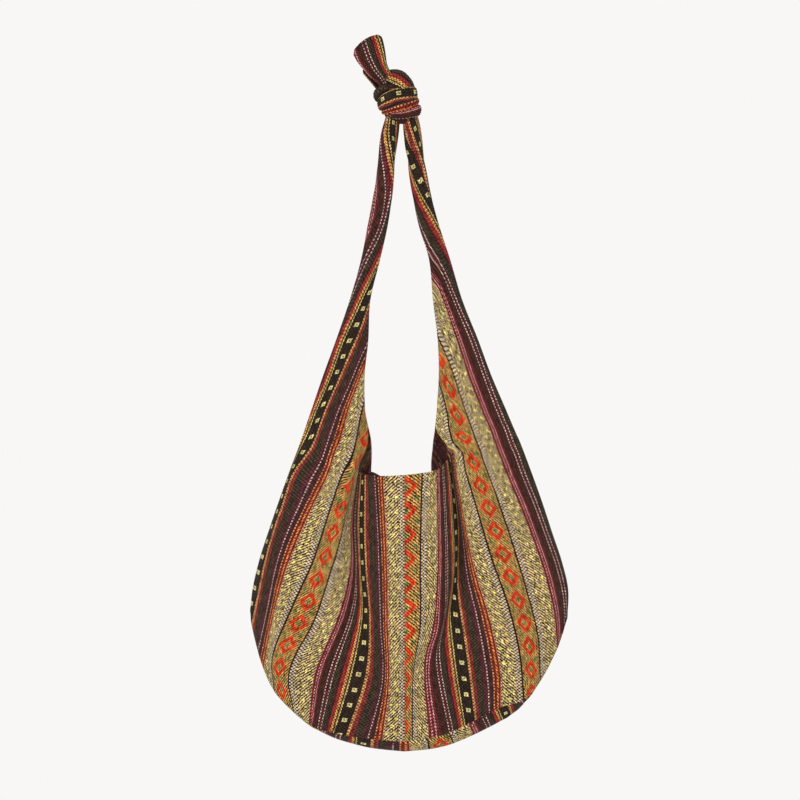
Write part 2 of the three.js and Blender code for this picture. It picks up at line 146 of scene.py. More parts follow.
def make_lamps():
    for name, place, size, power in LAMPS:
        data = bpy.data.lights.new(name, "AREA")
        data.size = size
        data.energy = power
        lamp = link(bpy.data.objects.new(name, data))
        lamp.location = place
        aim = np.array(LAMP_AIM) - np.array(place)
        pitch = math.pi / 2 + math.atan2(aim[2], math.hypot(aim[0], aim[1]))
        lamp.rotation_euler = (pitch, 0.0, math.atan2(aim[1], aim[0]) - math.pi / 2)


# Rows of the arms: y, outer x, inner x, half depth, middle depth, twist and opening
LEFT_ARM = [
    (104.0, 390.0, 401.0, 8, 0, 160, 0),
    (118.4, 385.5, 399.5, 9, 0, 150, 0),
    (135, 380, 399, 9.5, 0, 130, 0),
    (152, 378.8, 396.7, 10, 0, 105, 0),
    (172, 376.3, 395.3, 10, 1, 70, 0),
    (195, 372.5, 393, 9, 1, 35, 0),
    (225, 368, 387.5, 8, 2, 10, 0),
    (260, 361.3, 379.6, 7, 2, 0, 0),
    (300, 350, 370, 7, 3, 0, 0),
    (340, 336.3, 368, 7, 4, 0, 0),
    (375, 323.5, 364.4, 8, 5, 0, 0),
    (410, 311.5, 364.8, 9, 5, 0, 0.6),
    (442, 300.5, 368, 11, 5, 0, 3.5),
]
RIGHT_ARM = [
    (104.0, 412.0, 402.0, 8, 0, -160, 0),
    (118.4, 418, 403, 9, 0, -150, 0),
    (135, 421.7, 404.3, 9.5, 0, -130, 0),
    (152, 423.8, 406.6, 10, 0, -105, 0),
    (172, 427.4, 409, 10, 1, -70, 0),
    (195, 431.5, 412, 9, 1, -35, 0),
    (225, 438.7, 419, 8, 2, -10, 0),
    (260, 450, 429.5, 7, 2, 0, 0),
    (300, 462, 433.3, 7, 3, 0, 0),
    (340, 478, 438, 7, 4, 0, 0),
    (375, 491, 439, 8, 5, 0, 0),
    (410, 506, 437, 9, 5, 0, 0.6),
    (430, 514.5, 436.5, 10, 5, 0, 2),
    (446, 521.5, 447, 11, 5, 0, 3.5),
]
LEFT_BACK_ARM = LEFT_ARM[:-1] + [(442, 300.5, 371, 11, 5, 0, 3.5)]
RIGHT_BACK_ARM = RIGHT_ARM[:-2] + [(430, 514.5, 435, 10, 5, 0, 2), (446, 521.5, 433, 11, 5, 0, 3.5)]

# Place across the woven repeat at both edges of each arm row, in millimetres
LEFT_FRONT_CLOTH = [(-114, -86)] * 5 + [
    (-114, -84), (-109, -79), (-94, -68), (-86, -51), (-77, -34), (-79, -15), (-74, 6), (-70, 18),
]
LEFT_BACK_CLOTH = [(-34, -71)] * 4 + [
    (-36, -72), (-45, -76), (-60, -80), (-80, -70), (-85, -55), (-77, -34), (-79, -15), (-74, 6), (-70, 22),
]
RIGHT_FRONT_CLOTH = [
    (278, 250), (278, 250), (278, 250), (276, 248), (274, 246), (271, 244), (263, 240),
    [(429.5, 234), (432.3, 237.6), (438, 243.2), (446, 251), (450, 255)],
    [(433, 203), (443.5, 218), (447, 227), (451.5, 237.6), (456.5, 243.2), (462, 251)],
    [(438, 193), (440, 195.5), (456.5, 219), (461, 225.6), (469.3, 237.6), (474, 243.2), (478, 250)],
    [(439, 169), (453.8, 195), (467.5, 219), (473.5, 226), (482, 237.6), (486.5, 243.2), (491, 250)],
    [(437, 148), (446.6, 165), (464.8, 195), (482.3, 221.6), (486.6, 226), (495, 237.6), (506, 250)],
    [(436.5, 147), (449.4, 165), (472.2, 195), (491.3, 221.6), (495.2, 226), (503.4, 237.6), (514.5, 250)],
    [(447, 150), (456.4, 165), (478.2, 195), (497.7, 221.6), (501, 226), (509, 237.6), (521.5, 250)],
]
RIGHT_BACK_CLOTH = [(282, 248)] * 4 + [
    (280, 248), (276, 246), (270, 240), (260, 226), (252, 201), (252, 194), (252, 176), (251, 160),
    (250.5, 142), (250, 124),
]

# Columns of the body from the outer edge to the seam: x, y, depth of each row, and one cloth place or six
def columns(*lines):
    result = []
    for points, cloth in lines:
        places = [cloth] * len(points) if np.isscalar(cloth) else cloth
        result.append([(*point, u) for point, u in zip(points, places)])
    return result


SEAM_FRONT = [
    (SEAM_X, 474.6, -24), (SEAM_X, 524, -31), (SEAM_X, 575, -35), (SEAM_X, 625, -36), (SEAM_X, 682, -32),
    (SEAM_X, 740, -20),
]
SEAM_BACK = [
    (SEAM_X, 478, 22), (SEAM_X, 527, 27), (SEAM_X, 577, 30), (SEAM_X, 630, 31), (SEAM_X, 685, 29),
    (SEAM_X, 740, 24),
]
LEFT_EDGE = [(289, 473, 9), (279, 501, 9), (269.5, 529, 9), (260, 558, 10), (253, 587, 10), (250, 612, 8)]
RIGHT_EDGE = [
    (532, 473.5, 9), (542.5, 503, 9), (552.3, 533, 9), (562, 562, 10), (568.3, 590, 10), (567.5, 619, 8),
]

FRONT_LEFT = columns(
    (LEFT_EDGE, [-68, -66, -64, -62, -60, -57]),
    ([(294, 474, 0), (284, 503, -1), (274, 532, -2), (266, 562, -3), (259, 595, -2), (252, 628, 7)], -50),
    ([(325, 474, -8), (309, 506, -11), (293, 541, -13), (281, 576, -14), (271, 620, -11),
      (262, 664, -1)], -24),
    ([(342, 475, -12), (329, 513, -17), (313.5, 560, -19), (294, 603, -20), (273.5, 654, -17),
      (275, 691, -8)], 1),
    ([(352, 474, -14), (342, 517, -20), (333, 564, -22), (316, 616, -23), (290, 669, -20),
      (294, 711, -12)], [8, 22, 31, 31, 31, 31]),
    ([(357.5, 470.5, -6), (348, 520, -9), (347, 567, -14), (338.5, 615, -21), (316, 670, -23),
      (309, 723, -15)], [40, 45, 50, 55, 55, 55]),
    ([(359.5, 472.5, -4), (353, 522, -5), (354, 567, -9), (350.5, 614, -16), (329.5, 671, -25),
      (317.5, 727, -17)], [76, 66, 66, 74, 74, 74]),
    ([(363, 474, -9), (361.5, 523, -10), (363, 568, -13), (366, 618, -17), (359, 673, -26),
      (340, 733, -19)], 106),
    ([(372, 475, -17), (374.5, 524, -20), (376, 572, -24), (378, 622, -25), (379, 678, -28),
      (362, 736.5, -20)], 125),
    ([(383, 475.5, -22), (385.5, 524, -28), (387.5, 575, -32), (388, 625, -33), (389, 680, -31),
      (382, 738.5, -20)], 143.7),
    (SEAM_FRONT, 164),
)
FRONT_RIGHT = columns(
    (RIGHT_EDGE, [252, 251, 250, 249, 249, 248]),
    ([(506, 474, -6), (520, 507, -9), (534, 544, -11), (545, 577, -11), (553.5, 614, -8),
      (557, 649, 4)], 219),
    ([(488, 474, -11), (500.5, 509, -15), (513.5, 548, -17), (526.5, 592, -17), (537, 634, -13),
      (540, 680, -5)], 195),
    ([(465.5, 473, -13), (478, 515, -17), (490.5, 557, -19), (507, 604, -20), (518.5, 652, -17),
      (523, 699.5, -10)], 164.5),
    ([(456, 468, -9), (464.5, 521, -14), (474, 568, -17), (488, 615, -20), (499, 668, -19),
      (500, 706.5, -13)], 143.7),
    ([(450.5, 463, -5), (458.5, 521, -6), (460, 569, -9), (456, 618, -16), (463, 672, -22),
      (470, 721.5, -17)], [112, 115, 118, 106, 106, 106]),
    ([(447.5, 460.5, -6), (455, 521, -6), (455.5, 568, -9), (447, 618, -17), (438, 668, -25),
      (449, 731.5, -18)], [100, 106, 106, 92, 76, 74]),
    ([(444.5, 463.5, -15), (450, 520, -22), (451, 567, -25), (441.5, 619, -28), (430, 667, -28),
      (439, 734.5, -19)], [85, 92, 90, 68, 64, 64]),
    ([(436, 469.5, -22), (437, 522, -29), (437, 570, -33), (433, 620, -33), (422.5, 668, -29),
      (429, 736.5, -20)], [55, 55, 55, 55, 53, 55]),
    ([(422, 472.5, -24), (420.5, 524, -31), (420, 573, -35), (420, 623, -36), (413, 672, -31),
      (412, 739, -20)], 31),
    (SEAM_FRONT, [14.6, 14.6, 14.6, 14.8, 15.6, 18]),
)
BACK_LEFT = columns(
    (LEFT_EDGE, [-68, -66, -64, -62, -60, -57]),
    ([(303, 475, 16), (292, 508, 20), (282, 541, 22), (273, 572, 23), (266, 606, 21), (258, 650, 12)],
     [-50, -46, -43, -42, -42, -42]),
    ([(330, 476, 20), (318, 515, 25), (308, 558, 27), (302, 600, 27), (294, 645, 25), (284, 701, 17)],
     [-20, -7, -1, 0, 0, 0]),
    ([(352, 475, 17), (345, 520, 24), (340, 566, 28), (337, 612, 29), (331, 665, 27), (318, 727, 21)],
     [22, 38, 45, 47, 47, 47]),
    ([(371, 472, 12), (368, 522, 21), (367, 570, 27), (366, 622, 29), (362, 677, 28), (350, 735, 23)],
     [82, 92, 96, 96, 96, 94]),
    ([(383, 477, 20), (384, 526, 26), (385, 576, 29), (385, 628, 31), (382, 682, 29), (377, 738.5, 24)],
     [120, 124, 125, 125, 125, 125]),
    (SEAM_BACK, 164),
)
BACK_RIGHT = columns(
    (RIGHT_EDGE, [252, 251, 250, 249, 249, 248]),
    ([(518, 475, 16), (528, 508, 20), (537, 540, 22), (545, 570, 23), (552, 602, 21), (557, 647, 11)],
     [236, 232, 230, 230, 230, 230]),
    ([(492, 476, 20), (501, 515, 25), (509, 557, 27), (516, 598, 27), (522, 640, 25), (530, 691, 17)],
     [202, 192, 187, 186, 188, 190]),
    ([(462, 475, 17), (467, 520, 24), (471, 565, 28), (474, 610, 29), (480, 660, 27), (492, 713, 21)],
     [160, 141, 133, 132, 134, 138]),
    ([(431.5, 472, 13), (438, 522, 22), (442, 570, 27), (445, 620, 29), (452, 674, 28), (462, 727, 23)],
     [68, 78, 82, 86, 88, 92]),
    ([(424, 477, 20), (425, 526, 26), (424.5, 576, 29), (425, 628, 31), (428, 682, 29), (433, 737, 24)],
     [46, 46, 46, 46, 48, 50]),
    (SEAM_BACK, [10.4, 10.4, 10.4, 11, 13, 18]),
)


def unit(vectors):
    return vectors / np.linalg.norm(vectors, axis=1)[:, None]


def run_lengths(points):
    return np.concatenate([[0], np.cumsum(np.linalg.norm(np.diff(points, axis=0), axis=1))])


def around(sides):
    return 2 * np.pi * np.arange(sides) / sides


# Smooth curve through equally numbered points
def spline(points, places):
    points = np.asarray(points, dtype=float)
    padded = np.concatenate([[2 * points[0] - points[1]], points, [2 * points[-1] - points[-2]]])
    places = np.atleast_1d(np.asarray(places, dtype=float))
    k = np.clip(np.floor(places).astype(int), 0, len(points) - 2)
    t = places - k
    weights = np.stack([
        0.5 * (-t**3 + 2 * t**2 - t),
        0.5 * (3 * t**3 - 5 * t**2 + 2),
        0.5 * (-3 * t**3 + 4 * t**2 + t),
        0.5 * (t**3 - t**2),
    ])
    return sum(weights[i][:, None] * padded[k + i] for i in range(4))


def smooth(low, high, value):
    t = np.clip((value - low) / (high - low), 0.0, 1.0)
    return t * t * (3 - 2 * t)


# Pleats of an arm, gap between its halves, and how much the stripes crowd towards its edges
ARM_PLEAT = 0.1
ARM_PLEATS = 6
ARM_PARTING = 0.3
CROWDING = 0.75


# One arm row with its cloth places: half of a flattened, pleated and twisted tube
def arm_points(row, cloth, side, corner):
    y, outer, inner, half_depth, middle, twist, opening = row
    centre = (to_x(outer) + to_x(inner)) / 2
    half_width = (inner - outer) * UNIT / 2
    turn = math.radians(abs(twist))
    result = []
    for i in range(corner + 1):
        angle = math.pi * i / corner
        pleat = 1 + ARM_PLEAT * math.cos(ARM_PLEATS * angle) * math.sin(angle)
        across = -half_width * math.cos(angle) * pleat
        parting = ARM_PARTING + opening * math.sin(angle / 2) ** 2
        out = side * (parting + half_depth * math.sin(angle) * pleat)
        x = centre + across * math.cos(turn) + out * math.sin(turn)
        depth = middle + out * math.cos(turn) - across * math.sin(turn)
        if isinstance(cloth, list):
            u = float(np.interp(CROTCH_X + x / UNIT, [p[0] for p in cloth], [p[1] for p in cloth]))
        else:
            round_share = 0.5 - 0.5 * math.cos(angle)
            share = CROWDING * round_share + (1 - CROWDING) * i / corner
            u = cloth[0] + (cloth[1] - cloth[0]) * share
        result.append((x, depth, to_z(y), u))
    return result


# Parts of a row step at which the hem and the rolled bottom edge get rows of their own
HEM_ROWS = [0.03, 0.1, 0.12, 0.135, 0.145, 0.153, 0.16, 0.167, 0.176, 0.19, 0.24]
EDGE_ROWS = [0.016, 0.035, 0.055, 0.09, 0.11]

# Folds and creases of the front: points x, y, then width and height in millimetres
CREASES = [
    ([(447, 600), (438.5, 631), (426, 647), (415, 666), (411, 680)], 3.4, -3.2),
    ([(452, 590), (444, 628), (433, 648), (423, 668), (418, 690)], 5.0, 2.6),
    ([(349, 560), (352, 600), (344, 636), (330, 664)], 4.0, -1.6),
    ([(371, 500), (373, 560), (375, 610), (372, 660)], 6.0, 1.8),
    ([(457, 540), (461, 590), (459, 640)], 5.0, -1.8),
    ([(300, 560), (288, 610), (280, 650)], 9.0, 1.6),
    ([(498, 560), (510, 610), (514, 660)], 9.0, 1.8),
    ([(326, 520), (312, 570), (296, 620)], 7.0, -1.4),
    ([(482, 500), (492, 550), (500, 600)], 6.0, -1.5),
    ([(404, 640), (396, 690), (392, 725)], 6.0, -1.5),
]


# How far a crease reaches at each point of a row, from 0 to 1, fading towards the ends of its line
def crease(row, line, width):
    line = np.array([(to_x(x), to_z(y)) for x, y in line])
    spot = row[:, [0, 2]]
    nearest = np.full(len(row), 1e9)
    taper = np.zeros(len(row))
    for i in range(len(line) - 1):
        step = line[i + 1] - line[i]
        t = ((spot - line[i]) @ step) / (step @ step)
        t = np.clip(t, 0.0, 1.0)
        apart = np.linalg.norm(spot - line[i] - t[:, None] * step, axis=1)
        closer = apart < nearest
        nearest = np.where(closer, apart, nearest)
        share = (i + t) / (len(line) - 1)
        taper = np.where(closer, np.sin(np.pi * np.clip(0.1 + 0.8 * share, 0, 1)), taper)
    return taper * np.exp(-(nearest / width)**2)


# Steps of a panel, its hem, rolled bottom edge, puckers at the bottom and gathers at the corners
ROW_STEPS = 14
EDGE_OUTSET = 0.4
HEM_WIDTH = 10.0
HEM_RISE = 0.7
HEM_FADE = (8.6, 9.6)
HEM_GROOVE = 0.6
HEM_GROOVE_WIDTH = 0.9
ROLL_DEPTH = 2.6
ROLL_WIDTH = 8.0
PUCKER_HEIGHT = 0.8
PUCKER_PITCH = 13.5
DRIFT = 2.2
DRIFT_LENGTH = 19
PUCKER_REACH = 13
GATHER_HEIGHT = 0.7
GATHER_PITCH = 9.0
GATHER_REACH = 24
GATHER_WIDTH = 11


# Lines of a panel from the knot along the arm to the bottom seam, from the outer edge to the centre
def panel_lines(arm, cloth, columns, corner, side):
    arm_rows = [arm_points(row, place, side, corner) for row, place in zip(arm, cloth)]
    lines = []
    for c, points in enumerate(columns):
        outset = side * EDGE_OUTSET if c == 0 else 0.0
        body = [(to_x(x), depth + outset, to_z(y), u) for x, y, depth, u in points]
        lines.append([row[c] for row in arm_rows] + body if c <= corner else body)
    return lines


# Length along the cloth of each point, counted from the row of the mouth
def count_lengths(rows, mouth):
    for direction in (1, -1):
        r = mouth
        while 0 <= r + direction < len(rows):
            here, ahead = rows[r], rows[r + direction]
            count = min(len(here), len(ahead))
            step = np.linalg.norm(ahead[:count, :3] - here[:count, :3], axis=1)
            ahead[:count, 4] = here[:count, 4] - direction * step
            r += direction


# Hem, roll, puckers, gathers and creases of the body of a panel
def shape_body(body, corner, side):
    for row in body:
        from_mouth = np.abs(row[:, 4])
        from_bottom = np.abs(row[:, 4] - body[-1][:, 4])
        past_corner = smooth(corner - 1.0, corner + 4.0, np.arange(len(row)))
        groove = np.exp(-((from_mouth - HEM_WIDTH) / HEM_GROOVE_WIDTH)**2)
        hem = HEM_RISE * (1 - smooth(*HEM_FADE, from_mouth)) - HEM_GROOVE * groove
        phase = 2 * np.pi * row[:, 0] / PUCKER_PITCH
        drift = DRIFT * np.sin(row[:, 0] / DRIFT_LENGTH)
        puckers = np.sin(phase + drift) * np.exp(-from_bottom / PUCKER_REACH)
        gathers = np.sin(2 * np.pi * row[:, 3] / GATHER_PITCH) * np.exp(-from_mouth / GATHER_REACH)
        near_corner = np.exp(-((row[:, 0] - row[corner, 0]) / GATHER_WIDTH)**2)
        roll = -ROLL_DEPTH * (1 - smooth(0.0, ROLL_WIDTH, from_bottom))
        folds = PUCKER_HEIGHT * puckers + GATHER_HEIGHT * gathers * near_corner
        row[:, 1] += side * (hem * past_corner + roll + folds)
    if side > 0:
        return
    for line, width, height in CREASES:
        for row in body:
            row[:, 1] += side * height * crease(row, line, width)


# A whole panel: rows from the knot to the bottom seam, each a list of x, depth, z and the cloth place
def panel_grid(arm, cloth, columns, corner, side, column_steps):
    lines = panel_lines(arm, cloth, columns, corner, side)
    arm_count = len(arm)
    row_count = arm_count + len(columns[0]) - 1
    even = np.arange(row_count * ROW_STEPS + 1) / ROW_STEPS
    near_hem = arm_count + np.array(HEM_ROWS)
    near_edge = row_count - np.array(EDGE_ROWS)
    places = np.unique(np.concatenate([even, near_hem, near_edge]))
    mouth = int(np.searchsorted(places, arm_count))
    fine_lines = []
    for c, line in enumerate(lines):
        here = places if c <= corner else places[mouth:] - arm_count
        fine_lines.append(spline(line, here))
    rows = []
    for r in range(len(places)):
        last = len(columns) - 1 if r >= mouth else corner
        across = [fine_lines[c][r if c <= corner else r - mouth] for c in range(last + 1)]
        row = spline(across, np.arange(last * column_steps + 1) / column_steps)
        rows.append(np.concatenate([row, np.zeros((len(row), 1))], axis=1))
    count_lengths(rows, mouth)
    shape_body(rows[mouth:], corner * column_steps, side)
    return rows, mouth, corner * column_steps


def grid_arrays(rows):
    starts = np.cumsum([0] + [len(row) for row in rows])
    points = np.concatenate([row[:, :3] for row in rows])
    cloth = np.concatenate([row[:, 3:5] for row in rows])
    faces = []
    for r in range(len(rows) - 1):
        count = min(len(rows[r]), len(rows[r + 1]))
        a = starts[r] + np.arange(count - 1)
        b = starts[r + 1] + np.arange(count - 1)
        faces.append(np.stack([a, b, b + 1, a + 1], axis=1))
    return points, cloth, np.concatenate(faces)


def point_normals(points, faces):
    a, b, c, d = (points[faces[:, i]] for i in range(4))
    face_normals = np.cross(c - a, d - b)
    normals = np.zeros_like(points)
    for i in range(4):
        np.add.at(normals, faces[:, i], face_normals)
    return normals / np.maximum(np.linalg.norm(normals, axis=1), 1e-9)[:, None]


def boundary_edges(faces):
    edges = np.concatenate([faces[:, [i, (i + 1) % 4]] for i in range(4)])
    keys = np.sort(edges, axis=1)
    _, index, counts = np.unique(keys, axis=0, return_index=True, return_counts=True)
    return edges[index[counts == 1]]


# Mesh object with a cloth map in millimetres, scaled down; the second material is the reverse
def make_object(name, points, faces, cloth, materials, sides=None):
    mesh = bpy.data.meshes.new(name)
    mesh.from_pydata((points * MM).tolist(), [], [list(map(int, face)) for face in faces])
    layer = mesh.uv_layers.new(name="cloth")
    loops = np.zeros(len(mesh.loops), dtype=np.int64)
    mesh.loops.foreach_get("vertex_index", loops)
    layer.data.foreach_set("uv", (cloth[loops] / MAP_SCALE).astype(np.float32).ravel())
    for material in materials:
        mesh.materials.append(material)
    if sides is not None:
        mesh.polygons.foreach_set("material_index", np.asarray(sides, dtype=np.int32))
    mesh.polygons.foreach_set("use_smooth", [True] * len(mesh.polygons))
    mesh.update()
    thing = link(bpy.data.objects.new(name, mesh))
    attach(thing, "root")
    return thing


# Closed cloth of even thickness around a grid, with its face on the side that the normals show
def cloth_solid(name, points, faces, cloth, materials):
    normals = point_normals(points, faces)
    count = len(points)
    outer = points + normals * CLOTH_THICKNESS / 2
    inner = points - normals * CLOTH_THICKNESS / 2
    rim = boundary_edges(faces)
    rim_faces = np.stack([rim[:, 1], rim[:, 0], rim[:, 0] + count, rim[:, 1] + count], axis=1)
    every = np.concatenate([faces, faces[:, ::-1] + count, rim_faces])
    sides = [0] * len(faces) + [1] * len(faces) + [0] * len(rim_faces)
    return make_object(name, np.concatenate([outer, inner]), every, np.concatenate([cloth, cloth]),
                       materials, sides)


def flat_area(cloth, faces):
    a, b, c, d = (cloth[faces[:, i]] for i in range(4))
    one = (b - a)[:, 0] * (c - a)[:, 1] - (b - a)[:, 1] * (c - a)[:, 0]
    two = (c - a)[:, 0] * (d - a)[:, 1] - (c - a)[:, 1] * (d - a)[:, 0]
    return float(np.abs(one).sum() + np.abs(two).sum()) / 2 * MM * MM


# The flat size of a sheet is the extent of its cloth map, and its area that of the cut shape; both are only
# computed here, and nothing keeps or shows them
def declare_sheet(cloth, faces):
    width, length = (cloth.max(axis=0) - cloth.min(axis=0)) * MM
    area = min(flat_area(cloth, faces), float(width * length))


# A value in a shader, so that sums of values are written as usual
class Value:
    def __init__(self, nodes, socket):
        self.nodes = nodes
        self.socket = socket

    def __add__(self, other):
        return self.nodes.math("ADD", self, other)

    def __sub__(self, other):
        return self.nodes.math("SUBTRACT", self, other)

    def __rsub__(self, other):
        return self.nodes.math("SUBTRACT", other, self)

    def __mul__(self, other):
        return self.nodes.math("MULTIPLY", self, other)

    def __truediv__(self, other):
        return self.nodes.math("DIVIDE", self, other)

    def __lt__(self, other):
        return self.nodes.math("LESS_THAN", self, other)

    def __gt__(self, other):
        return self.nodes.math("GREATER_THAN", self, other)

    def __abs__(self):
        return self.nodes.math("ABSOLUTE", self)

    def fract(self):
        return self.nodes.math("FRACT", self)


class Nodes:
    def __init__(self, name):
        self.material = bpy.data.materials.new(name)
        self.material.use_nodes = True
        self.tree = self.material.node_tree
        self.shader = self.tree.nodes["Principled BSDF"]

    def add(self, kind, **settings):
        node = self.tree.nodes.new(kind)
        for key, value in settings.items():
            setattr(node, key, value)
        return node

    def put(self, socket, value):
        if isinstance(value, Value):
            self.tree.links.new(value.socket, socket)
        else:
            socket.default_value = value

    def math(self, operation, *values):
        node = self.add("ShaderNodeMath", operation=operation)
        for socket, value in zip(node.inputs, values):
            self.put(socket, value)
        return Value(self, node.outputs[0])

    def mix(self, share, one, two, blend="MIX"):
        node = self.add("ShaderNodeMix", data_type="RGBA", blend_type=blend)
        self.put(node.inputs[0], share)
        self.put(node.inputs[6], one)
        self.put(node.inputs[7], two)
        return Value(self, node.outputs[2])

    def vector(self, operation, vector, name, value):
        node = self.add("ShaderNodeVectorMath", operation=operation)
        self.put(node.inputs[0], vector)
        node.inputs[name].default_value = value
        return Value(self, node.outputs[0])

    def noise(self, vector, scale, detail):
        node = self.add("ShaderNodeTexNoise", noise_dimensions="2D")
        node.inputs["Scale"].default_value = scale
        node.inputs["Detail"].default_value = detail
        self.put(node.inputs["Vector"], vector)
        return Value(self, node.outputs[0])

    # Place on the cloth in millimetres: as a vector, across the stripes and along them
    def cloth_place(self):
        cloth_map = self.add("ShaderNodeUVMap", uv_map="cloth")
        mapped = self.vector("SCALE", Value(self, cloth_map.outputs[0]), "Scale", MAP_SCALE)
        parts = self.add("ShaderNodeSeparateXYZ")
        self.put(parts.inputs[0], mapped)
        return mapped, Value(self, parts.outputs[0]), Value(self, parts.outputs[1])

    def surface(self, base, roughness, height, strength, distance):
        bump = self.add("ShaderNodeBump")
        bump.inputs["Strength"].default_value = strength
        bump.inputs["Distance"].default_value = distance
        self.put(bump.inputs["Height"], height)
        self.put(self.shader.inputs["Normal"], Value(self, bump.outputs[0]))
        self.put(self.shader.inputs["Base Color"], base)
        self.put(self.shader.inputs["Roughness"], roughness)


def between(value, low, high):
    return (value > low) * (value < high)


def color(code):
    parts = [int(code[i:i + 2], 16) / 255 for i in (0, 2, 4)]
    return tuple(p / 12.92 if p <= 0.04045 else ((p + 0.055) / 1.055) ** 2.4 for p in parts) + (1.0,)


# Yarn colours of one woven repeat: start in millimetres, the darker yarn and the lighter yarn
FIELD = ("2e1e08", "e6b060")
STAR_GROUND = ("1e1406", "f0d094")
MARLED = ("0c0807", "e2cba6")
NARROW_LINE = ("1a0c0c", "3c2220")
STRIPES = [
    (0.0, *NARROW_LINE), (2.0, *FIELD), (30.0, *NARROW_LINE), (32.0, *MARLED), (38.0, *STAR_GROUND),
    (55.0, "56121a", "8e2630"), (57.9, "48121a", "e0a8a0"), (59.1, "6a1222", "9c2434"),
    (61.1, "48121a", "e8bab0"), (62.4, "561620", "822a30"), (65.0, "2a110c", "532c22"),
    (73.8, "32161a", "e3cab8"), (75.2, "40141c", "6e2630"), (78.6, "32161a", "e3cab8"),
    (80.0, "1c160e", "4a3c2a"), (86.0, "281010", "4c2826"), (88.5, "741c1a", "b03630"),
    (92.8, "7a3c1a", "e8b266"), (95.6, "23130c", "4a2c1a"), (97.2, "5a3a18", "ecd484"),
    (98.8, "120c08", "38281a"), (112.0, "7c3e1e", "e2aa6c"), (114.6, "5e1a18", "9a3a34"),
    (118.0, "1c170f", "4c3e2c"), (124.8, "36141a", "603034"), (129.8, "32161a", "deb8aa"),
    (131.2, "301416", "522c2a"), (136.0, "6a1a12", "e8a070"), (137.4, "5a1408", "8a2c18"),
    (139.8, "96280e", "f09c58"), (141.8, "641208", "8c2814"), (143.7, "5c3220", "e2ae86"),
    (145.3, *STAR_GROUND), (158.4, *MARLED),
]

# Yarns: slanted lines on the wide stripes, staggered dots elsewhere, in millimetres
FIELD_SPAN = (2.0, 30.0)
STAR_SPANS = ((38.0, 55.0), (145.3, 158.4))
SLANTED_SPAN = (139.8, 141.8)
YARN = 2.0
PICK = 4.0
PICK_SHARE = 0.55
TWILL = 4.2
TWILL_SLOPE = 1.12
TWILL_SHARE = 0.52
SIDE_SHAKE = 0.9
LENGTH_SHAKE = 4.0

# Figures: places across the repeat, steps along the cloth and sizes, in millimetres
DIAMOND_MIDDLE = 16.0
DIAMOND_REACH = 10.6
DIAMOND_STEP = 30.0
DIAMOND_TIP = 0.44
DIAMOND_RING = (0.5, 1.0)
DIAMOND_HEART = 0.24
GREEN_APART = 10.0
GREEN_WIDTH = 3.0
GREEN_SLOPE = 9.0
SQUARE_MIDDLE = 105.8
SQUARE_STEP = 20.0
SQUARE_REACH = 2.6
SQUARE_HOLE = 0.8
STAR_MIDDLES = (46.4, 151.9)
STAR_APART = (4.5, 3.8)
STAR_STEP = 18.4
STAR_POWER = 0.75
STAR_REACH = 2.3

# Specks of dark yarn: share of the noise above which they show, and how dark they are
SPECK_LIMIT = 0.57
SPECK_DEPTH = 0.3
STAR_SPECK_DEPTH = 0.75


def stripe_ramp(nodes, place, which, low, high):
    ramp = nodes.add("ShaderNodeValToRGB")
    ramp.color_ramp.interpolation = "CONSTANT"
    chosen = [s for s in STRIPES if low <= s[0] < high]
    before = [s for s in STRIPES if s[0] < low][-1:]
    stops = [(0.0, before[0][which])] if before and chosen[0][0] > low else []
    stops += [((s[0] - low) / (high - low), s[which]) for s in chosen]
    elements = ramp.color_ramp.elements
    elements[0].position = stops[0][0]
    elements[0].color = color(stops[0][1])
    elements[1].position = stops[1][0]
    elements[1].color = color(stops[1][1])
    for position, code in stops[2:]:
        elements.new(position).color = color(code)
    nodes.put(ramp.inputs[0], (place - low) / (high - low))
    return Value(nodes, ramp.outputs[0])


# Distance from the nearest point of a row of points along the cloth, as a share of the step
def along_row(v, step, start):
    return abs((v / step + start).fract() - 0.5)


# Where the lighter yarn lies on top, and the slanted lines alone
def yarn_on_top(nodes, place, u, v, shaky, on_wide_stripe):
    slope = u * TWILL_SLOPE - (v + (shaky - 0.5) * LENGTH_SHAKE)
    lines = (slope / TWILL).fract() < TWILL_SHARE
    stagger = nodes.math("FLOOR", place / YARN) * 0.5
    dots = (v / PICK + stagger).fract() < PICK_SHARE
    slanted = nodes.math("MAXIMUM", on_wide_stripe, between(place, *SLANTED_SPAN))
    return lines * slanted + dots * (1.0 - slanted), lines


# Darker and lighter yarns of the stripes; a colour ramp holds half of the repeat
def stripe_colors(nodes, place, on_top):
    half = REPEAT / 2
    yarns = []
    for which in (1, 2):
        first = stripe_ramp(nodes, place, which, 0.0, half)
        second = stripe_ramp(nodes, place, which, half, REPEAT)
        yarns.append(nodes.mix(place > half, first, second))
    return nodes.mix(on_top, *yarns)


# Diamonds of the wide field, each with a green heart, and green spots at the edges between them
def add_diamonds(nodes, base, place, v, on_top, in_field):
    side = abs(place - DIAMOND_MIDDLE)
    ring = side / DIAMOND_REACH + along_row(v, DIAMOND_STEP, 0.0) / DIAMOND_TIP
    outline = between(ring, *DIAMOND_RING) * in_field
    spot = abs(side - GREEN_APART) / GREEN_WIDTH + along_row(v, DIAMOND_STEP, 0.5) * GREEN_SLOPE
    green = nodes.math("MAXIMUM", ring < DIAMOND_HEART, spot < 1.0) * in_field
    base = nodes.mix(outline, base, nodes.mix(on_top, color("b8240c"), color("f04c22")))
    return nodes.mix(green, base, nodes.mix(on_top, color("33481c"), color("8f9c58")))


